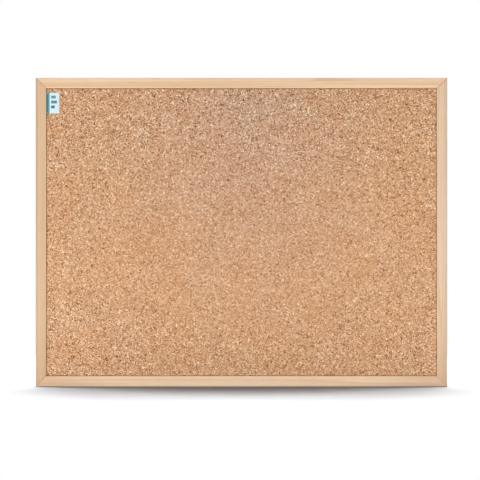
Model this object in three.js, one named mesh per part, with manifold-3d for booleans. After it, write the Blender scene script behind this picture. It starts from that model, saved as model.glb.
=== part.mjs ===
// Cork notice board in a mitred pine frame, landscape, hung flat on a wall.
// Millimetres. +X is right seen from the front, the front faces -Y and +Z is up.
// The origin is the middle of the top rail's back face, in the plane of the wall.

import * as THREE from "three";
import { mergeVertices } from "three/addons/utils/BufferGeometryUtils.js";
import Module from "manifold-3d";

const wasm = await Module();
wasm.setup();

// Overall size
const boardWidth = 800;
const boardHeight = 600;

// Moulding: an L section with a lip in front and a rebate behind it
const mouldingWidth = 20;
const mouldingDepth = 16;
const lipThickness = 3;
const rebateWidth = 6;
const frontRound = 1.5;
const sightRound = 0.8;
const backChamfer = 0.6;
const mitreGap = 0.3;

// Panel: cork glued to softboard, with a paper liner behind
const corkThickness = 2;
const softboardThickness = 8;
const linerThickness = 0.5;
const panelSideClearance = 0.5;
const faceGap = 0.1;

// Paper label on the cork, below the upper left corner of the opening
const labelWidth = 25;
const labelHeight = 40;
const labelThickness = 0.2;
const labelDrop = 9;
const labelSideGap = 0.3;

// V-nails: pairs across each mitre, driven from the back
const vNailsPerCorner = 2;
const vNailCover = 1.25;
const vNailThickness = 0.5;
const vNailLength = 10;
const vNailSink = 0.2;
const vNailClearance = 0.15;

// Retainer points: flat steel points driven into the rebate wall behind the panel
const pointsPerRail = 4;
const pointsPerStile = 3;
const pointWidth = 6;
const pointThickness = 0.5;
const pointGrip = 7;
const pointReach = 8;
const pointNoseWidth = 1.6;
const pointTaper = 2.6;
const pointCorner = 1.2;
const pointClearance = 0.15;

// Hangers: a strap with a rolled eye on the back of each stile, holding a wire D-ring
const hangerDrop = 150;
const strapWidth = 10;
const strapThickness = 1;
const eyeWidth = 8;
const eyeWrap = THREE.MathUtils.degToRad(285);
const neckLength = 1.2;
const shoulderLength = 1.6;
const wireDiameter = 1.8;
const wireClearance = 0.25;
const ringSideClearance = 1;
const ringInnerHeight = 9;
const ringInnerBend = 0.9;
const ringButtGap = 0.3;

// Screws: pan heads on the straps
const screwDiameter = 3;
const screwLength = 12;
const screwTipLength = 2.6;
const headDiameter = 5.8;
const headRim = 0.7;
const headHeight = 2;
const headToRing = 0.7;
const strapHoleClearance = 0.25;
const pilotClearance = 0.15;

// Cutting tools run past the faces that they open by this much
const overrun = 1;

// Facets of the round forms, as counts
const arcFacets = 6;
const eyeFacets = 40;
const wireFacets = 12;
const wireSteps = 64;
const screwFacets = 24;

// Places worked out from the sizes above
const backStrip = mouldingWidth - rebateWidth;
const frameTop = backStrip / 2;
const frameMiddle = frameTop - boardHeight / 2;
const frontFace = -mouldingDepth;
const corkFront = frontFace + lipThickness + faceGap;
const softboardFront = corkFront + corkThickness + faceGap;
const linerFront = softboardFront + softboardThickness + faceGap;
const linerBack = linerFront + linerThickness;
const quarterTurn = Math.PI / 2;

const finishes = {
  pine: { color: 0xe4c39f, roughness: 0.6, metalness: 0 },
  cork: { color: 0xd0a27d, roughness: 0.95, metalness: 0 },
  softboard: { color: 0xa88a66, roughness: 0.95, metalness: 0 },
  kraftPaper: { color: 0xb5905f, roughness: 0.85, metalness: 0 },
  labelPaper: { color: 0xdcf1f6, roughness: 0.5, metalness: 0 },
  brightSteel: { color: 0xb9bcc0, roughness: 0.35, metalness: 1 },
  zincSteel: { color: 0xc9ccd0, roughness: 0.3, metalness: 1 },
};

// A named mesh with a material of its own.
function piece(name, geometry, finish) {
  const mesh = new THREE.Mesh(geometry, new THREE.MeshStandardMaterial(finish));
  mesh.name = name;
  return mesh;
}

// A closed geometry as a solid that can be cut. Triangles drawn to a point on an axis drop out.
function solidOf(geometry) {
  const bare = geometry.clone();
  bare.deleteAttribute("normal");
  bare.deleteAttribute("uv");
  const merged = mergeVertices(bare);
  const corners = merged.index.array;
  const kept = [];
  for (let i = 0; i < corners.length; i += 3) {
    const [a, b, c] = corners.subarray(i, i + 3);
    if (a !== b && b !== c && c !== a) kept.push(a, b, c);
  }
  return new wasm.Manifold(
    new wasm.Mesh({
      numProp: 3,
      vertProperties: merged.getAttribute("position").array,
      triVerts: Uint32Array.from(kept),
    }),
  );
}

// A solid back as a flat-shaded geometry.
function geometryOf(solid) {
  const mesh = solid.getMesh();
  const indexed = new THREE.BufferGeometry();
  indexed.setAttribute("position", new THREE.BufferAttribute(mesh.vertProperties, mesh.numProp));
  indexed.setIndex(new THREE.BufferAttribute(mesh.triVerts, 1));
  const geometry = indexed.toNonIndexed();
  geometry.computeVertexNormals();
  return geometry;
}

function cut(blank, tools) {
  const solid = tools.reduce((left, tool) => left.subtract(solidOf(tool)), solidOf(blank));
  return geometryOf(solid);
}

function outlineThrough(corners) {
  return new THREE.Shape(corners.map(([x, y]) => new THREE.Vector2(x, y)));
}

// A flat piece: its outline lies in the plane of the board, and it fills two depths between them.
function slab(outline, front, back) {
  const geometry = new THREE.ExtrudeGeometry(outline, {
    depth: back - front,
    bevelEnabled: false,
    curveSegments: 2 * arcFacets,
  });
  geometry.rotateX(quarterTurn);
  geometry.translate(0, back, 0);
  return geometry;
}

// Moulding section, from the outer edge inwards and from the wall to the front.
function mouldingSection() {
  const section = new THREE.Shape();
  section.moveTo(backChamfer, 0);
  section.lineTo(0, -backChamfer);
  section.lineTo(0, frontFace + frontRound);
  section.absarc(frontRound, frontFace + frontRound, frontRound, Math.PI, 3 * quarterTurn);
  section.lineTo(mouldingWidth - sightRound, frontFace);
  section.absarc(
    mouldingWidth - sightRound,
    frontFace + sightRound,
    sightRound,
    -quarterTurn,
    0,
  );
  section.lineTo(mouldingWidth, frontFace + lipThickness);
  section.lineTo(backStrip, frontFace + lipThickness);
  section.lineTo(backStrip, 0);
  return section;
}

// One length of moulding in its own frame: x along it, z outwards with zero on the outer edge.
// Each end is sawn at 45 degrees, so the length shrinks by the way in from the outer edge.
function mitredMoulding(outerLength) {
  const geometry = new THREE.ExtrudeGeometry(mouldingSection(), {
    depth: 1,
    bevelEnabled: false,
    curveSegments: arcFacets,
  });
  const sawAllowance = (mitreGap / 2) * Math.SQRT2;
  const spots = geometry.getAttribute("position");
  for (let i = 0; i < spots.count; i++) {
    const wayIn = spots.getX(i);
    const end = 2 * spots.getZ(i) - 1;
    spots.setXYZ(i, end * (outerLength / 2 - wayIn - sawAllowance), spots.getY(i), -wayIn);
  }
  return geometry;
}

// V-nails, in the frame of a corner: zero on the outer corner, the frame towards -x and -z.
// The apex points at the sight corner, and one leg lies in each of the two mouldings.
// Along the mitre each nail has an equal share of the back strip, with wood left at both ends.
const vNailShare = backStrip / vNailsPerCorner;
const vNailLeg = vNailShare - 2 * vNailCover;

function vNail(row, grow, back) {
  const apex = vNailCover - (row + 1) * vNailShare;
  const near = apex - grow;
  const face = apex + vNailThickness + grow;
  const far = apex + vNailLeg + grow;
  const outline = outlineThrough([
    [near, near],
    [far, near],
    [far, face],
    [face, face],
    [face, far],
    [near, far],
  ]);
  return slab(outline, -vNailSink - vNailLength - grow, back);
}

// Retainer points, in the frame of a moulding: a blunt nose in the wood, a free end on the liner.
function retainerPoint(along, grow) {
  const side = pointWidth / 2 + grow;
  const nose = pointNoseWidth / 2 + grow;
  const driven = -backStrip + pointGrip + grow;
  const free = -backStrip - pointReach - grow;
  const outline = outlineThrough([
    [pointCorner - side, free],
    [side - pointCorner, free],
    [side, free + pointCorner],
    [side, driven - pointTaper],
    [nose, driven],
    [-nose, driven],
    [-side, driven - pointTaper],
    [-side, free + pointCorner],
  ]);
  const front = linerBack + faceGap;
  const geometry = slab(outline, front - grow, front + pointThickness + grow);
  geometry.translate(along, 0, 0);
  return geometry;
}

function pointPlaces(outerLength, count) {
  const spacing = outerLength / count;
  return Array.from({ length: count }, (_, i) => (i + 0.5) * spacing - outerLength / 2);
}

// Hangers, in a frame of their own: zero on the stile's back, level with the middle of the eye.
const wireRadius = wireDiameter / 2;
const eyeInnerRadius = wireRadius + wireClearance;
const eyeOuterRadius = eyeInnerRadius + strapThickness;
const eyeAxis = faceGap + eyeOuterRadius;
const strapBack = faceGap + strapThickness;
const ringHalfWidth = eyeWidth / 2 + ringSideClearance + wireRadius;
const ringHeight = ringInnerHeight + wireDiameter;
const ringBend = ringInnerBend + wireRadius;
const screwDrop = ringHeight + wireRadius + headToRing + headDiameter / 2;
const hangerSide = boardWidth / 2 - backStrip / 2;
const hangerHeight = frameTop - hangerDrop;

// The strap is one strip: flat on the wood, then rolled over into the eye.
// Its rolled side view is trimmed to its plan: a narrow eye, shoulders, a round end with a hole.
function hangerStrap() {
  const side = new THREE.Shape();
  const foot = -screwDrop - strapWidth;
  side.moveTo(faceGap, foot);
  side.lineTo(strapBack, foot);
  side.lineTo(strapBack, 0);
  side.absarc(eyeAxis, 0, eyeInnerRadius, Math.PI, Math.PI - eyeWrap, true);
  side.absarc(eyeAxis, 0, eyeOuterRadius, Math.PI - eyeWrap, Math.PI, false);
  const rolled = new THREE.ExtrudeGeometry(side, {
    depth: strapWidth + 2 * overrun,
    bevelEnabled: false,
    curveSegments: eyeFacets / 2,
  });
  rolled.translate(0, 0, -strapWidth / 2 - overrun);
  rolled.applyMatrix4(new THREE.Matrix4().makeBasis(
    new THREE.Vector3(0, 1, 0),
    new THREE.Vector3(0, 0, 1),
    new THREE.Vector3(1, 0, 0),
  ));

  const plan = new THREE.Shape();
  const neckEnd = -eyeOuterRadius - neckLength;
  plan.moveTo(-eyeWidth / 2, eyeOuterRadius + overrun);
  plan.lineTo(-eyeWidth / 2, neckEnd);
  plan.lineTo(-strapWidth / 2, neckEnd - shoulderLength);
  plan.lineTo(-strapWidth / 2, -screwDrop);
  plan.absarc(0, -screwDrop, strapWidth / 2, Math.PI, 2 * Math.PI);
  plan.lineTo(strapWidth / 2, neckEnd - shoulderLength);
  plan.lineTo(eyeWidth / 2, neckEnd);
  plan.lineTo(eyeWidth / 2, eyeOuterRadius + overrun);
  const hole = new THREE.Path();
  hole.absarc(0, -screwDrop, screwDiameter / 2 + strapHoleClearance, 0, 2 * Math.PI);
  plan.holes.push(hole);
  const trim = slab(plan, -overrun, eyeAxis + eyeOuterRadius + overrun);
  return geometryOf(solidOf(rolled).intersect(solidOf(trim)));
}

// The middle line of the ring's wire, laid from one butt end to the other inside the eye.
class RingLine extends THREE.Curve {
  constructor() {
    super();
    const straightEnd = ringHalfWidth - ringBend;
    const archTop = ringHalfWidth - ringHeight;
    this.line = new THREE.Path();
    this.line.moveTo(ringButtGap / 2, 0);
    this.line.lineTo(straightEnd, 0);
    this.line.absarc(straightEnd, -ringBend, ringBend, quarterTurn, 0, true);
    this.line.lineTo(ringHalfWidth, archTop);
    this.line.absarc(0, archTop, ringHalfWidth, 0, -Math.PI, true);
    this.line.lineTo(-ringHalfWidth, -ringBend);
    this.line.absarc(-straightEnd, -ringBend, ringBend, Math.PI, quarterTurn, true);
    this.line.lineTo(-ringButtGap / 2, 0);
  }

  getPoint(t, target = new THREE.Vector3()) {
    const spot = this.line.getPoint(t);
    return target.set(spot.x, 0, spot.y);
  }
}

function hangerRing() {
  const wire = new THREE.Shape();
  wire.absarc(0, 0, wireRadius, 0, 2 * Math.PI);
  return new THREE.ExtrudeGeometry(wire, {
    extrudePath: new RingLine(),
    steps: wireSteps,
    curveSegments: wireFacets / 2,
  });
}

// Pan-head screw along y, zero under its head.
function hangerScrew() {
  const shank = screwDiameter / 2;
  const headRadius = headDiameter / 2;
  const profile = [
    new THREE.Vector2(0, -screwLength),
    new THREE.Vector2(shank, screwTipLength - screwLength),
    new THREE.Vector2(shank, 0),
    new THREE.Vector2(headRadius, 0),
  ];
  for (let i = 0; i <= arcFacets; i++) {
    const turn = (i / arcFacets) * quarterTurn;
    const crown = headRim + (headHeight - headRim) * Math.sin(turn);
    profile.push(new THREE.Vector2(headRadius * Math.cos(turn), crown));
  }
  profile[profile.length - 1].x = 0;
  return new THREE.LatheGeometry(profile, screwFacets);
}

function pilotHole(place) {
  const radius = screwDiameter / 2 + pilotClearance;
  const bottom = strapBack + faceGap - screwLength - faceGap;
  const hole = new THREE.CylinderGeometry(radius, radius, overrun - bottom, screwFacets);
  hole.translate(place.x, (overrun + bottom) / 2, place.z);
  return hole;
}

const board = new THREE.Group();

// Frame: four mouldings, each in a group turned so that its z looks outwards
const mouldings = [
  { name: "top_rail", side: "top", length: boardWidth, points: pointsPerRail },
  { name: "right_stile", side: "right", length: boardHeight, points: pointsPerStile },
  { name: "bottom_rail", side: "bottom", length: boardWidth, points: pointsPerRail },
  { name: "left_stile", side: "left", length: boardHeight, points: pointsPerStile },
];
const screwPlaces = [-1, 1].map(
  (way) => new THREE.Vector3(way * hangerSide, 0, hangerHeight - screwDrop),
);

mouldings.forEach(({ name, side, length, points }, turns) => {
  const frame = new THREE.Group();
  const across = turns % 2 ? boardWidth : boardHeight;
  frame.rotation.y = turns * quarterTurn;
  frame.position.set(
    Math.sin(frame.rotation.y) * (across / 2),
    0,
    frameMiddle + Math.cos(frame.rotation.y) * (across / 2),
  );
  frame.updateMatrixWorld(true);
  board.add(frame);

  const tools = [];
  for (let row = 0; row < vNailsPerCorner; row++) {
    const rightSlot = vNail(row, vNailClearance, overrun);
    const leftSlot = rightSlot.clone().rotateY(-quarterTurn);
    tools.push(rightSlot.translate(length / 2, 0, 0));
    tools.push(leftSlot.translate(-length / 2, 0, 0));
  }
  const places = pointPlaces(length, points);
  for (const along of places) tools.push(retainerPoint(along, pointClearance));
  for (const place of screwPlaces) {
    const local = frame.worldToLocal(place.clone());
    if (local.z > -backStrip) tools.push(pilotHole(local));
  }
  frame.add(piece(name, cut(mitredMoulding(length), tools), finishes.pine));
  places.forEach((along, i) => {
    const point = retainerPoint(along, 0);
    frame.add(piece(`retainer_point_${side}_${i + 1}`, point, finishes.brightSteel));
  });
});

// V-nails, in a group at each outer corner
["top_right", "bottom_right", "bottom_left", "top_left"].forEach((corner, turns) => {
  const frame = new THREE.Group();
  const diagonal = (turns + 0.5) * quarterTurn;
  frame.rotation.y = turns * quarterTurn;
  frame.position.set(
    Math.sign(Math.sin(diagonal)) * (boardWidth / 2),
    0,
    frameMiddle + Math.sign(Math.cos(diagonal)) * (boardHeight / 2),
  );
  for (let row = 0; row < vNailsPerCorner; row++) {
    const nail = vNail(row, 0, -vNailSink);
    frame.add(piece(`v_nail_${corner}_${row + 1}`, nail, finishes.brightSteel));
  }
  board.add(frame);
});

// Panel layers, all to the same outline inside the rebate
const panelInset = backStrip + panelSideClearance;
function panelLayer(name, front, thickness, finish) {
  const layer = piece(
    name,
    new THREE.BoxGeometry(boardWidth - 2 * panelInset, thickness, boardHeight - 2 * panelInset),
    finish,
  );
  layer.position.set(0, front + thickness / 2, frameMiddle);
  board.add(layer);
}
panelLayer("cork_sheet", corkFront, corkThickness, finishes.cork);
panelLayer("softboard_core", softboardFront, softboardThickness, finishes.softboard);
panelLayer("backing_liner", linerFront, linerThickness, finishes.kraftPaper);

// Label, against the left sight edge
const label = piece(
  "corner_label",
  new THREE.BoxGeometry(labelWidth, labelThickness, labelHeight),
  finishes.labelPaper,
);
label.position.set(
  mouldingWidth - boardWidth / 2 + labelSideGap + labelWidth / 2,
  corkFront - faceGap - labelThickness / 2,
  frameTop - mouldingWidth - labelDrop - labelHeight / 2,
);
board.add(label);

// Hangers on the stiles' backs, their rings hanging straight down
["left", "right"].forEach((side, i) => {
  const hanger = new THREE.Group();
  hanger.position.set(screwPlaces[i].x, 0, hangerHeight);
  hanger.add(piece(`hanger_strap_${side}`, hangerStrap(), finishes.zincSteel));
  const ring = piece(`hanger_ring_${side}`, hangerRing(), finishes.zincSteel);
  ring.position.y = eyeAxis;
  hanger.add(ring);
  const screw = piece(`hanger_screw_${side}`, hangerScrew(), finishes.zincSteel);
  screw.position.set(0, strapBack + faceGap, -screwDrop);
  hanger.add(screw);
  board.add(hanger);
});

export default board;
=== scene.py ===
import math

import bmesh
import bpy
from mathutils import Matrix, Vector, noise


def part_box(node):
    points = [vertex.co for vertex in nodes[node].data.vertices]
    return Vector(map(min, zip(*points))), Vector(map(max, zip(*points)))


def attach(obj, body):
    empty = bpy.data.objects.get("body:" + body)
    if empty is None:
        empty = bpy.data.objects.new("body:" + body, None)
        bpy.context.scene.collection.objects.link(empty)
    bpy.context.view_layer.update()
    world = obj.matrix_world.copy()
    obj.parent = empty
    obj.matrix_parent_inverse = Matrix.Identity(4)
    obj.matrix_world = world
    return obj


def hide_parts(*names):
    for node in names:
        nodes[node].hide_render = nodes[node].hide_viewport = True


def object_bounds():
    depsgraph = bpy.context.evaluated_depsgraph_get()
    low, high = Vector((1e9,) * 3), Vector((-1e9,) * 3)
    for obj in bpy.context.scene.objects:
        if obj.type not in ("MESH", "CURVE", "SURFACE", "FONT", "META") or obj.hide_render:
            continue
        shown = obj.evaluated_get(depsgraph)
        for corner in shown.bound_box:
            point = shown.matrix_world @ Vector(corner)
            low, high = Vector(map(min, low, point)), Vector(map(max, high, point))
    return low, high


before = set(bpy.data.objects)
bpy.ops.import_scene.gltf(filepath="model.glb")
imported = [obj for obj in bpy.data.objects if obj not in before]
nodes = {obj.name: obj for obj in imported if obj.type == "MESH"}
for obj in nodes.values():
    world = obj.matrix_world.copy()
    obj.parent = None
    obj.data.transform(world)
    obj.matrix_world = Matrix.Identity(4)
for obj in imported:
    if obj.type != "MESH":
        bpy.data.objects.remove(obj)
cad_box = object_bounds()


# Camera
# The photograph is taken straight on, from a little left of and below the middle of the board.
# Its scale and the board's place in it are read off the frame's outer edges, in pixels.
picture_side = 480
board_left, board_right = 36.2, 446.8
board_top, board_bottom = 77.3, 387.1
stand_off = 2.5
farthest_seen = 50
low, high = cad_box
metres_per_pixel = (
    (high.x - low.x) / (board_right - board_left)
    + (high.z - low.z) / (board_bottom - board_top)
) / 2
camera_data = bpy.data.cameras.new("camera")
camera_data.lens = camera_data.sensor_width * stand_off / (picture_side * metres_per_pixel)
camera_data.clip_end = farthest_seen
camera = bpy.data.objects.new("camera", camera_data)
camera.location = (
    (low.x + high.x) / 2 + (picture_side - board_left - board_right) / 2 * metres_per_pixel,
    low.y - stand_off,
    (low.z + high.z) / 2 - (picture_side - board_top - board_bottom) / 2 * metres_per_pixel,
)
camera.rotation_euler = (math.radians(90), 0, 0)
bpy.context.scene.collection.objects.link(camera)
bpy.context.scene.camera = camera


# Pine mouldings
# Four lengths of planed and sanded pine, one L section with a lip in front and a rebate behind.
# They are sawn at 45 degrees and closed at the mitres, and the grain runs along each length.
class Shade:
    """An output of a material's nodes. Sums, differences and products of it add Math nodes."""

    def __init__(self, tree, socket=None):
        self.tree = tree
        self.socket = socket

    def node(self, kind, settings, inputs, output=0):
        made = self.tree.nodes.new("ShaderNode" + kind)
        for name, setting in settings.items():
            if name == "stops":
                while len(made.color_ramp.elements) < len(setting):
                    made.color_ramp.elements.new(1)
                for element, (place, colour) in zip(made.color_ramp.elements, setting):
                    element.position = place
                    element.color = colour
            else:
                setattr(made, name, setting)
        for name, value in inputs.items():
            if isinstance(value, Shade):
                self.tree.links.new(value.socket, made.inputs[name])
            else:
                made.inputs[name].default_value = value
        return Shade(self.tree, made.outputs[output]) if made.outputs else None

    def other(self, output):
        """Another output of the same node."""
        return Shade(self.tree, self.socket.node.outputs[output])

    def maths(self, operation, *others):
        return self.node("Math", {"operation": operation}, dict(enumerate((self, *others))))

    def __add__(self, other):
        return self.maths("ADD", other)

    def __sub__(self, other):
        return self.maths("SUBTRACT", other)

    def __rsub__(self, other):
        return self.node("Math", {"operation": "SUBTRACT"}, {0: other, 1: self})

    def __mul__(self, other):
        return self.maths("MULTIPLY", other)

    __radd__ = __add__
    __rmul__ = __mul__

    def between(self, low, high):
        """0 up to low, 1 from high, smooth between them."""
        settings = {"interpolation_type": "SMOOTHSTEP"}
        return self.node("MapRange", settings, {0: self, 1: low, 2: high})

    def mix(self, low, high, kind="MIX"):
        """The colour low where this is 0 and high, or low times high, where it is 1."""
        factor, colour_a, colour_b, mixed_colour = 0, 6, 7, 2
        settings = {"data_type": "RGBA", "blend_type": kind}
        inputs = {factor: self, colour_a: low, colour_b: high}
        return self.node("Mix", settings, inputs, mixed_colour)

    def blend(self, low, high):
        """The value low where this is 0 and high where it is 1."""
        factor, value_a, value_b = 0, 2, 3
        inputs = {factor: self, value_a: low, value_b: high}
        return self.node("Mix", {"data_type": "FLOAT"}, inputs)

    def ramp(self, *stops):
        return self.node("ValToRGB", {"stops": stops}, {0: self})

    def length(self):
        return self.node("VectorMath", {"operation": "LENGTH"}, {0: self}, "Value")

    def noise(self, place, scale, detail=2, roughness=0.5):
        inputs = {"Vector": place, "Scale": scale, "Detail": detail, "Roughness": roughness}
        return self.node("TexNoise", {}, inputs)

    def moved(self, shift, stretch=(1, 1, 1)):
        """This place, stretched and then shifted."""
        return self.node("Mapping", {}, {"Vector": self, "Location": shift, "Scale": stretch})

    def bump(self, strength, distance):
        """The normal of a surface that this raises by up to distance."""
        inputs = {"Strength": strength, "Distance": distance, "Height": self}
        return self.node("Bump", {}, inputs)


def paint(red, green, blue):
    """A colour as a screen shows it, 0 to 255, in the linear values that a socket takes."""
    return tuple(
        c / 12.92 if c <= 0.04045 else ((c + 0.055) / 1.055) ** 2.4
        for c in (red / 255, green / 255, blue / 255)
    ) + (1,)


def new_material(name):
    """An empty material, the start of its nodes, and the place on the piece that they work from."""
    material = bpy.data.materials.new(name)
    material.use_nodes = True
    material.node_tree.nodes.clear()
    start = Shade(material.node_tree)
    return material, start, start.node("TexCoord", {}, {}, "Object")


def close_material(start, inputs):
    surface = start.node("BsdfPrincipled", {}, inputs)
    start.node("OutputMaterial", {}, {"Surface": surface})


board_width = high.x - low.x
rail_low, rail_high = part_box("top_rail")
bottom_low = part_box("bottom_rail")[0]
board_height = rail_high.z - bottom_low.z
board_middle = (rail_high.z + bottom_low.z) / 2
moulding_width = rail_high.z - rail_low.z


def from_edges(across, height, inset=0):
    """How far in a point lies from the nearer end and from the nearer long edge of the board,
    both moved in by inset. Its two places are measured from the board's middle."""
    from_end = board_width / 2 - inset - across.maths("ABSOLUTE")
    from_long_edge = board_height / 2 - inset - height.maths("ABSOLUTE")
    return from_end, from_long_edge


def pine(name, along, seed, contrast, pale, ring_brown, arris_width, arris_shade_tone):
    """Straight-grained pine. along is the stretch that draws the grain out along the length,
    contrast is how strong the rings are, and painted shade greys the outer arris over arris_width."""
    rings = 8
    face_depth = (0.0012, 0.0036)
    arris_fade = 0.0034
    sight_band = (0.0022, 0.0010)
    glue_line = (0.0004, 0.0024)
    corner_reach = 0.16
    lower_part = (-0.1, 0.0)

    material, start, place = new_material(name)
    lengthwise = place.moved((seed, 2 * seed, 3 * seed), along)
    straight = place.moved((2 * seed, seed, 3 * seed), tuple(share ** 1.3 for share in along))
    slope = start.noise(straight, scale=62, detail=1, roughness=0.4)
    ring = (slope * rings).maths("FRACT")
    late = ring.between(0.35, 0.85) * (1 - ring.between(0.93, 0.99))
    fibres = start.noise(lengthwise, scale=1500, detail=3, roughness=0.6)
    broad = start.noise(lengthwise, scale=45)
    early = broad.between(0.3, 0.7).mix(pale, ring_brown)
    ringed = (late * 0.55 * contrast).mix(early, ring_brown)
    lined = (late.between(0.75, 1.0) * 0.3 * contrast).mix(ringed, paint(196, 148, 104))
    fibred = (fibres.between(0.35, 0.75) * 0.3).mix(lined, paint(204, 160, 118))
    duct_place = place.moved((seed, 0, seed), tuple(0.35 * share for share in along))
    ducts = start.noise(duct_place, scale=2600, detail=1).between(0.70, 0.78)
    streaked = (ducts * 0.35).mix(fibred, paint(176, 128, 86))

    point = start.node("SeparateXYZ", {}, {0: place})
    height = point.other(2) - board_middle
    from_end, from_long_edge = from_edges(point, height)
    from_edge = from_end.maths("MINIMUM", from_long_edge)
    in_front = 1 - (point.other(1) - low.y).between(*face_depth)
    # Painted shade: the rounded outer arris is greyed and darkened on the front, most on the left
    # stile.
    arris_shade_mask = in_front * (1 - from_edge.between(arris_width - arris_fade, arris_width))
    arris_shaded = (arris_shade_mask * (0.3 + 0.35 * fibres)).mix(streaked, arris_shade_tone)
    # Painted highlight: a pale band along the inner arris at the sight edge, on the front face
    # only.
    sight = from_edge.between(*(moulding_width - inset for inset in sight_band))
    sight_highlighted = (in_front * sight * 0.22).mix(arris_shaded, paint(255, 232, 200))
    off_mitre = (from_end - from_long_edge).maths("ABSOLUTE")
    squeezed = start.noise(place.moved((seed, seed, 0)), scale=130).between(0.35, 0.7)
    glued = (1 - off_mitre.between(*glue_line)) * (0.12 + 0.4 * squeezed)
    jointed = glued.mix(sight_highlighted, paint(172, 112, 76))
    # Painted shade: the wood is darkened towards the two lower corners of the frame.
    near_corner = 1 - from_end.maths("MAXIMUM", from_long_edge).between(0.0, corner_reach)
    low_corner_shade = near_corner * (1 - height.between(*lower_part))
    close_material(start, {
        "Base Color": (low_corner_shade * 0.5).mix(jointed, paint(190, 150, 115)),
        "Roughness": 0.5 + 0.12 * fibres,
        "Normal": (fibres * 0.6 + late * 0.4).bump(0.35, 0.00012),
    })
    return material


def new_piece(name, mesh, material, body="board"):
    piece = bpy.data.objects.new(name, mesh)
    bpy.context.scene.collection.objects.link(piece)
    mesh.materials.clear()
    mesh.materials.append(material)
    mesh.shade_smooth()
    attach(piece, body)
    return piece


def broken_edges(piece, width):
    """Edges as sanding or tumbling leaves them, with the flats beside them still flat."""
    bevel = piece.modifiers.new("broken_edges", "BEVEL")
    bevel.width = width
    bevel.segments = 2
    bevel.limit_method = "ANGLE"
    bevel.angle_limit = math.radians(35)
    piece.modifiers.new("flat_faces", "WEIGHTED_NORMAL")


def finished_solid(node, name, material, edge):
    """The solid of a node in its own finish, its facets joined up and its edges broken."""
    same_point, same_plane = 1e-6, math.radians(1)
    solid = bmesh.new()
    solid.from_mesh(nodes[node].data)
    bmesh.ops.remove_doubles(solid, verts=solid.verts, dist=same_point)
    bmesh.ops.dissolve_limit(
        solid, angle_limit=same_plane, verts=solid.verts, edges=solid.edges
    )
    mesh = bpy.data.meshes.new(name)
    solid.to_mesh(mesh)
    solid.free()
    piece = new_piece(name, mesh, material)
    broken_edges(piece, edge)
    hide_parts(node)


lengthwise_x = (0.03, 1, 1)
lengthwise_z = (1, 1, 0.03)
sanded_edge = 0.00015
arris_shade = paint(208, 185, 160)
dark_arris_shade = paint(188, 160, 134)
pale_arris_shade = paint(190, 178, 164)
# Way of the grain, seed, contrast of the rings, pale and ring tones, width and painted shade tone
# of the arris
mouldings = {
    "top_rail": (
        lengthwise_x, 1.3, 1.0, paint(242, 210, 175), paint(222, 185, 147), 0.0042, arris_shade,
    ),
    "right_stile": (
        lengthwise_z, 7.3, 0.7, paint(228, 199, 170), paint(211, 178, 146), 0.0058, pale_arris_shade,
    ),
    "bottom_rail": (
        lengthwise_x, 8.7, 0.55, paint(244, 213, 181), paint(225, 191, 157), 0.0042, arris_shade,
    ),
    "left_stile": (
        lengthwise_z, 12.4, 0.6, paint(218, 186, 149), paint(203, 166, 127), 0.0064, dark_arris_shade,
    ),
}
for name, look in mouldings.items():
    sanded_pine = pine(name + "_pine", *look)
    finished_solid(name, name + "_wood", sanded_pine, sanded_edge)


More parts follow.
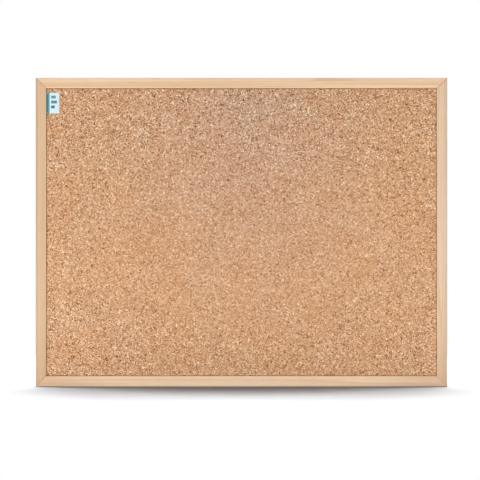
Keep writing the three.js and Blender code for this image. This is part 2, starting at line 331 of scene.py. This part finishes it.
# Cork sheet
# Granules of ground cork, mostly 1 to 4 mm, pressed and glued into a block and sliced into sheet.
# It is glued to the softboard and its edges lie behind the lip of the frame. Its granules are
# most alike across the middle, and light has bleached it a little above the middle.
def granulated_cork():
    granule_bend = 0.0016
    even_shift, even_stretch = (-0.06, 0, 1.2), (1.8, 0, 3.6)
    faded_shift, faded_stretch = (-0.05, 0, 0.22), (3.0, 0, 2.3)
    lip_shade = (0.0010, 0.0026)

    material, start, place = new_material("granulated_cork")
    wobble = start.noise(place, scale=900).other("Color")
    centred = start.node("VectorMath", {"operation": "SUBTRACT"}, {0: wobble, 1: (0.5, 0.5, 0.5)})
    warp = start.node("VectorMath", {"operation": "SCALE"}, {0: centred, "Scale": granule_bend})
    bent = start.node("VectorMath", {"operation": "ADD"}, {0: place, 1: warp})

    def granules(scale, shift):
        """A tone for each granule, 0 to 1, and how far a point lies from the granule's edge."""
        placed = {"Vector": bent.moved(shift), "Scale": scale}
        cells = start.node("TexVoronoi", {}, placed, "Color")
        edge = start.node("TexVoronoi", {"feature": "DISTANCE_TO_EDGE"}, placed)
        return start.node("SeparateColor", {}, {0: cells}), edge

    coarse_tone, coarse_edge = granules(460, (0, 0, 0))
    fine_tone, fine_edge = granules(720, (0.4, 0.7, 0.2))
    fines = start.noise(place.moved((5, 1, 2)), scale=170).between(0.45, 0.6)
    tone = fines.blend(coarse_tone, fine_tone)
    edge = fines.blend(coarse_edge, fine_edge)
    broad = start.noise(place, scale=14, detail=3, roughness=0.6)
    from_middle = place.moved(even_shift, even_stretch).length()
    contrast = from_middle.between(0.2, 1.1).blend(0.88, 1.07)
    body = (0.5 + contrast * (tone - 0.5) + 0.10 * (broad - 0.5)).ramp(
        (0.0, paint(94, 48, 16)),
        (0.08, paint(141, 91, 51)),
        (0.22, paint(190, 139, 97)),
        (0.5, paint(214, 163, 121)),
        (0.8, paint(238, 193, 154)),
        (1.0, paint(255, 237, 205)),
    )
    tinge = start.noise(place.moved((2, 7, 4)), scale=12).between(0.35, 0.65)
    tinged = tinge.mix(body, (1.0, 0.96, 0.91, 1), "MULTIPLY")
    faded = 1 - place.moved(faded_shift, faded_stretch).length().between(0, 1)
    bleached = faded.mix(tinged, (0.92, 0.99, 1.16, 1), "MULTIPLY")
    speck = start.noise(place, scale=2100, detail=3, roughness=0.6)
    specked = (speck.between(0.5, 0.72) * 0.3).mix(bleached, paint(160, 112, 78))
    seam = 1 - edge.between(0.0, 0.10)
    seamed = (seam * 0.35).mix(specked, paint(128, 82, 48))
    point = start.node("SeparateXYZ", {}, {0: place})
    height = point.other(2) - board_middle
    from_end, from_long_edge = from_edges(point, height, moulding_width)
    # Painted shade: the cork is darkened in a band about 2.6 mm wide along the lip of the frame,
    # where the recess lies in shade.
    painted_shade_under_lip = 1 - from_end.maths("MINIMUM", from_long_edge).between(*lip_shade)
    relief = contrast * (edge.between(0.0, 0.22) + 0.3 * speck + 0.4 * tone)
    close_material(start, {
        "Base Color": (painted_shade_under_lip * 0.55).mix(seamed, paint(134, 90, 58)),
        "Roughness": 0.78 + 0.15 * speck,
        "Normal": relief.bump(0.5, 0.00035),
        "Specular IOR Level": 0.35,
    })
    return material


def cork_sheet():
    """The sheet with the slight unevenness that the glue under it leaves in its face."""
    name = "cork_sheet"
    cell = 0.005
    unevenness = 0.00012
    waves_per_metre = 28
    lowest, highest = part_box(name)
    columns = round((highest.x - lowest.x) / cell)
    rows = round((highest.z - lowest.z) / cell)
    points, faces = [], []
    for layer_y, swell in ((lowest.y, unevenness), (highest.y, 0)):
        for row in range(rows + 1):
            for column in range(columns + 1):
                x = lowest.x + (highest.x - lowest.x) * column / columns
                z = lowest.z + (highest.z - lowest.z) * row / rows
                wave = noise.noise(Vector((x, 0, z)) * waves_per_metre)
                lift = swell * (0.5 + 0.5 * wave)
                points.append((x, layer_y + max(0, lift), z))
    width = columns + 1
    back = width * (rows + 1)
    for row in range(rows):
        for column in range(columns):
            a = row * width + column
            faces.append((a, a + 1, a + 1 + width, a + width))
            faces.append((a + back, a + back + width, a + back + width + 1, a + back + 1))
    rim = list(range(width))
    rim += [row * width + columns for row in range(1, rows + 1)]
    rim += [rows * width + column for column in range(columns - 1, -1, -1)]
    rim += [row * width for row in range(rows - 1, 0, -1)]
    for a, b in zip(rim, rim[1:] + rim[:1]):
        faces.append((b, a, a + back, b + back))
    mesh = bpy.data.meshes.new("cork_face")
    mesh.from_pydata(points, [], faces)
    mesh.validate()
    piece = new_piece("cork_face", mesh, granulated_cork())
    mesh.set_sharp_from_angle(angle=math.radians(30))
    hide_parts(name)


cork_sheet()


# Softboard core
# Soft fibreboard, felted from wood fibres, which grips the pins pushed through the cork.
# It is closed in by the cork, the frame and the paper behind it.
def softboard():
    material, start, place = new_material("softboard")
    fibres = start.noise(place, scale=600, detail=4, roughness=0.65)
    close_material(start, {
        "Base Color": fibres.ramp((0.3, paint(140, 112, 80)), (0.7, paint(186, 157, 121))),
        "Roughness": 0.95,
        "Normal": fibres.bump(0.5, 0.0003),
    })
    return material


nodes["softboard_core"].data.materials.clear()
nodes["softboard_core"].data.materials.append(softboard())


# Backing liner
# Brown kraft paper on the back of the softboard, which keeps the panel flat as it dries.
# The retainer points press on it and the rebate hides its edges.
def kraft_paper():
    material, start, place = new_material("kraft_paper")
    fibre_place = place.moved((0, 0, 0), (0.35, 1, 1))
    fibres = start.noise(fibre_place, scale=900, detail=4, roughness=0.7)
    clouds = start.noise(place, scale=60, detail=4, roughness=0.6)
    flecks = start.noise(place.moved((3, 1, 2), (0.3, 1, 1)), scale=1900, detail=1)
    pulp = 0.7 * fibres + 0.3 * clouds
    base = pulp.ramp((0.35, paint(160, 123, 84)), (0.65, paint(190, 151, 108)))
    close_material(start, {
        "Base Color": (flecks.between(0.68, 0.75) * 0.5).mix(base, paint(120, 86, 54)),
        "Roughness": 0.8,
        "Normal": (fibres * 0.5 + clouds).bump(0.3, 0.0004),
    })
    return material


nodes["backing_liner"].data.materials.clear()
nodes["backing_liner"].data.materials.append(kraft_paper())


# Corner label
# A small sticker of coated paper on the cork, die-cut with round corners. Its print is plain
# colour: a teal band down the left side with a dark stripe in it, and three bars across the rest.
def printed_paper(lowest, highest):
    ink_spread = 0.12
    bleed = 1
    band_right, label_bottom = 6.4, 40
    stripe = (1.6, 3.4, 3.0, 37.0)
    bar_left, bar_height = 9.4, 5.6
    bars = (
        (5.4, 18.6, paint(98, 152, 166)),
        (15.0, 20.8, paint(78, 134, 144)),
        (24.6, 16.4, paint(60, 116, 124)),
    )
    material, start, place = new_material("printed_paper")
    point = start.node("SeparateXYZ", {}, {0: place})
    across = (point - lowest.x) * 1000
    down = (highest.z - point.other(2)) * 1000

    def inked(measure, first, last):
        """1 from first to last, in millimetres, with the ink's soft edge at both."""
        starts = measure.between(first - ink_spread, first + ink_spread)
        return starts - measure.between(last - ink_spread, last + ink_spread)

    def panel(left, right, top, bottom):
        """1 inside a block of print, in millimetres across and down the label."""
        return inked(across, left, right) * inked(down, top, bottom)

    mottle = start.noise(place, scale=240)
    paper = mottle.mix(paint(204, 232, 240), paint(218, 241, 247))
    band = panel(-bleed, band_right, -bleed, label_bottom + bleed)
    colour = panel(*stripe).mix(band.mix(paper, paint(88, 148, 158)), paint(34, 104, 104))
    for top, right, ink in bars:
        colour = panel(bar_left, right, top, top + bar_height).mix(colour, ink)
    close_material(start, {"Base Color": colour, "Roughness": 0.4 + 0.12 * mottle})
    return material


def corner_label():
    """The sticker, with the corners that its die rounds off."""
    corner, corner_steps = 0.0016, 8
    cut_edge = 0.00005
    turns = [(1, 1, 0), (-1, 1, 90), (-1, -1, 180), (1, -1, 270)]
    lowest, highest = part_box("corner_label")
    sheet = bmesh.new()
    outline = []
    for across, up, start_angle in turns:
        x = (highest.x if across > 0 else lowest.x) - across * corner
        z = (highest.z if up > 0 else lowest.z) - up * corner
        for step in range(corner_steps + 1):
            angle = math.radians(start_angle + 90 * step / corner_steps)
            spot = (x + corner * math.cos(angle), highest.y, z + corner * math.sin(angle))
            outline.append(sheet.verts.new(spot))
    back = sheet.faces.new(outline)
    front = bmesh.ops.extrude_face_region(sheet, geom=[back])["geom"]
    bmesh.ops.translate(
        sheet,
        verts=[part for part in front if isinstance(part, bmesh.types.BMVert)],
        vec=(0, lowest.y - highest.y, 0),
    )
    bmesh.ops.recalc_face_normals(sheet, faces=sheet.faces)
    mesh = bpy.data.meshes.new("sticker")
    sheet.to_mesh(mesh)
    sheet.free()
    piece = new_piece("sticker", mesh, printed_paper(lowest, highest))
    broken_edges(piece, cut_edge)
    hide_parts("corner_label")


corner_label()


# V-nails and retainer points
# Thin bright steel, stamped from strip. The V-nails are pressed across the mitres from behind,
# and the points are driven into the wall of the rebate and lie on the panel's paper.
def steel(name, tone, roughness, smear_scale):
    """Plated or rolled steel with smears of duller metal, and scuffs up and down it."""
    material, start, place = new_material(name)
    smears = start.noise(place, scale=smear_scale, detail=3, roughness=0.6)
    scuff_place = place.moved((1, 2, 3), (1, 1, 0.2))
    scuffs = start.noise(scuff_place, scale=2400, detail=2, roughness=0.6)
    dull_share = 0.70
    dull = tuple(dull_share * c for c in tone[:3]) + (1,)
    close_material(start, {
        "Base Color": (0.7 * smears + 0.3 * scuffs).ramp((0.32, dull), (0.62, tone)),
        "Metallic": 1.0,
        "Roughness": roughness + 0.25 * (smears - 0.5),
        "Normal": (smears + 0.5 * scuffs).bump(0.2, 0.00008),
    })
    return material


strip_steel = steel("strip_steel", paint(200, 202, 205), 0.36, 420)
stamped_edge = 0.00006
for name in [name for name in nodes if name.startswith(("v_nail", "retainer_point"))]:
    finished_solid(name, name + "_steel", strip_steel, stamped_edge)


# Hangers
# Zinc-plated strap hangers. A strip is rolled into an eye round a D-ring of wire, and a pan-head
# screw with a cross recess holds it to the stile. The ring swings in the eye.
zinc_plate = steel("zinc_plate", paint(208, 211, 216), 0.28, 300)
strap_edge = 0.00012
screw_edge = 0.00006


def circle(radius, steps):
    """Points round a circle, as pairs."""
    turns = [2 * math.pi * step / steps for step in range(steps)]
    return [(radius * math.cos(turn), radius * math.sin(turn)) for turn in turns]


def joined(solid, first, second):
    """Faces from one closed row of points to the next."""
    for j in range(len(first)):
        k = (j + 1) % len(first)
        solid.faces.new((first[j], first[k], second[k], second[j]))


def closed_mesh(solid, name):
    bmesh.ops.recalc_face_normals(solid, faces=solid.faces)
    mesh = bpy.data.meshes.new(name)
    solid.to_mesh(mesh)
    solid.free()
    return mesh


def wire_ring(side):
    """The D-ring: a straight back with both butt ends in the eye, two bends and a round bow."""
    bend = 0.0018
    butt = 0.00015
    wire_sides = 24
    straight_steps, bend_steps, bow_steps = 4, 8, 32
    node = "hanger_ring_" + side
    lowest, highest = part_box(node)
    radius = (highest.y - lowest.y) / 2
    half = (highest.x - lowest.x) / 2 - radius
    tall = highest.z - lowest.z - 2 * radius
    straight = half - bend
    path = [
        (butt + (straight - butt) * step / straight_steps, 0) for step in range(straight_steps)
    ]
    for step in range(bend_steps + 1):
        angle = math.radians(90 - 90 * step / bend_steps)
        path.append((straight + bend * math.cos(angle), -bend + bend * math.sin(angle)))
    for step in range(bow_steps + 1):
        angle = math.radians(-90 * step / bow_steps)
        path.append((half * math.cos(angle), half - tall + half * math.sin(angle)))
    path += [(-x, z) for x, z in reversed(path[:-1])]
    centre = Vector(((lowest.x + highest.x) / 2, (lowest.y + highest.y) / 2, highest.z - radius))
    wire = bmesh.new()
    rings = []
    for i, (x, z) in enumerate(path):
        before, after = path[max(i - 1, 0)], path[min(i + 1, len(path) - 1)]
        along = Vector((after[0] - before[0], 0, after[1] - before[1])).normalized()
        outward = Vector((along.z, 0, -along.x))
        spot = centre + Vector((x, 0, z))
        rings.append([
            wire.verts.new(spot + outward * out + Vector((0, back, 0)))
            for out, back in circle(radius, wire_sides)
        ])
    for first, second in zip(rings, rings[1:]):
        joined(wire, first, second)
    wire.faces.new(rings[0])
    wire.faces.new(rings[-1])
    mesh = closed_mesh(wire, "wire_ring_" + side)
    piece = new_piece("wire_ring_" + side, mesh, zinc_plate, side + "_ring")
    mesh.set_sharp_from_angle(angle=math.radians(40))
    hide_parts(node)


def cross_cutter(centre):
    """The four-armed tapered bit that presses the recess into a screw's head."""
    arm, half_blade = 0.00165, 0.00042
    above, above_share = 0.0004, 1.1
    deep, deep_share = 0.0012, 0.55
    corners = [
        (arm, half_blade), (half_blade, half_blade), (half_blade, arm), (-half_blade, arm),
        (-half_blade, half_blade), (-arm, half_blade), (-arm, -half_blade),
        (-half_blade, -half_blade), (-half_blade, -arm), (half_blade, -arm),
        (half_blade, -half_blade), (arm, -half_blade),
    ]
    bit = bmesh.new()
    layers = []
    for height, share in ((above, above_share), (-deep, deep_share)):
        layers.append([
            bit.verts.new(centre + Vector((x * share, height, z * share))) for x, z in corners
        ])
    joined(bit, *layers)
    for layer in layers:
        bit.faces.new(layer)
    cutter = bpy.data.objects.new("cross_bit", closed_mesh(bit, "cross_bit"))
    bpy.context.scene.collection.objects.link(cutter)
    return cutter


def pan_screw(side):
    """The screw, its shank plain in the pilot hole and its head domed over a short rim."""
    shank = 0.0015
    tip = 0.0026
    rim, crown = 0.0007, 0.002
    dome_steps, turned_sides = 12, 48
    node = "hanger_screw_" + side
    lowest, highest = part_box(node)
    head_radius = (highest.x - lowest.x) / 2
    under_head = highest.y - crown
    profile = [(shank, lowest.y + tip), (shank, under_head), (head_radius, under_head)]
    for step in range(dome_steps):
        angle = math.radians(90 * step / dome_steps)
        height = under_head + rim + (crown - rim) * math.sin(angle)
        profile.append((head_radius * math.cos(angle), height))
    x, z = (lowest.x + highest.x) / 2, (lowest.z + highest.z) / 2
    screw = bmesh.new()
    hoops = [
        [
            screw.verts.new((x + across, y, z + up))
            for across, up in circle(radius, turned_sides)
        ]
        for radius, y in profile
    ]
    for first, second in zip(hoops, hoops[1:]):
        joined(screw, first, second)
    for hoop, y in ((hoops[0], lowest.y), (hoops[-1], highest.y)):
        point = screw.verts.new((x, y, z))
        for j in range(turned_sides):
            screw.faces.new((hoop[j], hoop[(j + 1) % turned_sides], point))
    piece = new_piece("pan_screw_" + side, closed_mesh(screw, "turned_screw"), zinc_plate)
    cutter = cross_cutter(Vector((x, highest.y, z)))
    pressed = piece.modifiers.new("cross_recess", "BOOLEAN")
    pressed.operation = "DIFFERENCE"
    pressed.object = cutter
    piece.data = bpy.data.meshes.new_from_object(
        piece.evaluated_get(bpy.context.evaluated_depsgraph_get())
    )
    piece.modifiers.clear()
    bpy.data.objects.remove(cutter)
    piece.data.set_sharp_from_angle(angle=math.radians(40))
    broken_edges(piece, screw_edge)
    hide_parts(node)


for side in ("left", "right"):
    strap = "hanger_strap_" + side
    finished_solid(strap, "rolled_strap_" + side, zinc_plate, strap_edge)
    wire_ring(side)
    pan_screw(side)


# Floor and light
# A plain white floor under the board and a white surround. The lamps are all soft. Eight light the
# board alone, one of them in place of what a white floor throws back. Four light the floor alone:
# three behind the board draw its shadow there, and a weak one in front keeps the shadow soft.
def in_view(start):
    """1 for what the camera, a reflection or a view through glass shows."""
    path = start.node("LightPath", {}, {}, "Is Camera Ray")
    mirrored = path.maths("MAXIMUM", path.other("Is Glossy Ray"))
    return mirrored.maths("MAXIMUM", path.other("Is Transmission Ray"))


def white_floor():
    """Lit near the board, where the shadow falls, and plain white further out. What it throws back
    on the board is a tone of its own, because its lamps are stronger than the board's."""
    near, far = 0.6, 0.9
    lit_tone = (0.292, 0.295, 0.305, 1)
    thrown_back_tone = (0.19, 0.19, 0.19, 1)
    material, start, place = new_material("white_floor")
    lit = start.node("BsdfDiffuse", {}, {"Color": lit_tone})
    plain_white = start.node("Emission", {}, {"Color": (1, 1, 1, 1), "Strength": 1.0})
    further_out = place.length().between(near, far)
    seen = start.node("MixShader", {}, {0: further_out, 1: lit, 2: plain_white})
    unseen = start.node("BsdfDiffuse", {}, {"Color": thrown_back_tone})
    surface = start.node("MixShader", {}, {0: in_view(start), 1: unseen, 2: seen})
    start.node("OutputMaterial", {}, {"Surface": surface})
    return material


def white_ground():
    reach = 8
    clearance = 0.0003
    corners = [(-reach, -reach, 0), (reach, -reach, 0), (reach, reach, 0), (-reach, reach, 0)]
    mesh = bpy.data.meshes.new("floor")
    mesh.from_pydata(corners, [], [(0, 1, 2, 3)])
    mesh.materials.append(white_floor())
    ground = bpy.data.objects.new("floor", mesh)
    ground.location = (0, 0, low.z - clearance)
    bpy.context.scene.collection.objects.link(ground)
    return ground


def lit_by(name, ground, state):
    """A group of things for lamps to light: the floor alone, or all but the floor."""
    group = bpy.data.collections.new(name)
    group.objects.link(ground)
    group.collection_objects[0].light_linking.link_state = state
    return group


def surround(level):
    """White to look at, and of a low level in what it lights."""
    world = bpy.data.worlds.new("surround")
    bpy.context.scene.world = world
    world.use_nodes = True
    world.node_tree.nodes.clear()
    start = Shade(world.node_tree)
    strength = in_view(start) * (1 - level) + level
    background = start.node("Background", {}, {"Color": (1, 1, 1, 1), "Strength": strength})
    start.node("OutputWorld", {}, {"Surface": background})


def softbox(name, group, place, target, width, height, watts):
    data = bpy.data.lights.new(name, "AREA")
    data.shape = "RECTANGLE"
    data.size = width
    data.size_y = height
    data.energy = watts
    lamp = bpy.data.objects.new(name, data)
    lamp.location = place
    aim = Vector(target) - Vector(place)
    lamp.rotation_euler = aim.to_track_quat("-Z", "Y").to_euler()
    lamp.light_linking.receiver_collection = group
    lamp.light_linking.blocker_collection = board_alone
    bpy.context.scene.collection.objects.link(lamp)


ground = white_ground()
board_alone = lit_by("board_alone", ground, "EXCLUDE")
floor_alone = lit_by("floor_alone", ground, "INCLUDE")
surround(level=0.1)
middle = (0, 0, board_middle)
behind = (0, 0.45, low.z)
softbox("top", board_alone, (0, -2.3, 2.2), middle, 3.0, 1.6, 43.5)
softbox("overhead", board_alone, (0, -0.3, 2.4), (0, 0, 0), 1.8, 1.0, 16)
softbox("front", board_alone, (0, -1.7, -0.75), (0, 0, -0.5), 1.6, 0.6, 3.4)
softbox("thrown_back", board_alone, (-0.5, -1.2, -1.5), (-0.2, 0, -0.35), 2.4, 0.9, 12.2)
for side in (-1, 1):
    softbox("side", board_alone, (2.2 * side, -1.6, -0.2), middle, 1.0, 1.8, 13 - 1.2 * side)
    softbox("rear", board_alone, (1.5 * side, 2.1, 1.2), middle, 1.2, 1.2, 21)
    softbox("floor_end", floor_alone, (2.0 * side, 0.45, low.z + 1.2), behind, 0.7, 1.2, 112)
softbox("floor_top", floor_alone, (0, 0.55, low.z + 1.8), (0, 0.55, low.z), 2.0, 0.8, 172)
softbox("floor_front", floor_alone, (0, -1.7, low.z + 1.1), (0, -0.1, low.z), 2.4, 0.6, 18)

bpy.context.scene.view_settings.view_transform = "Standard"
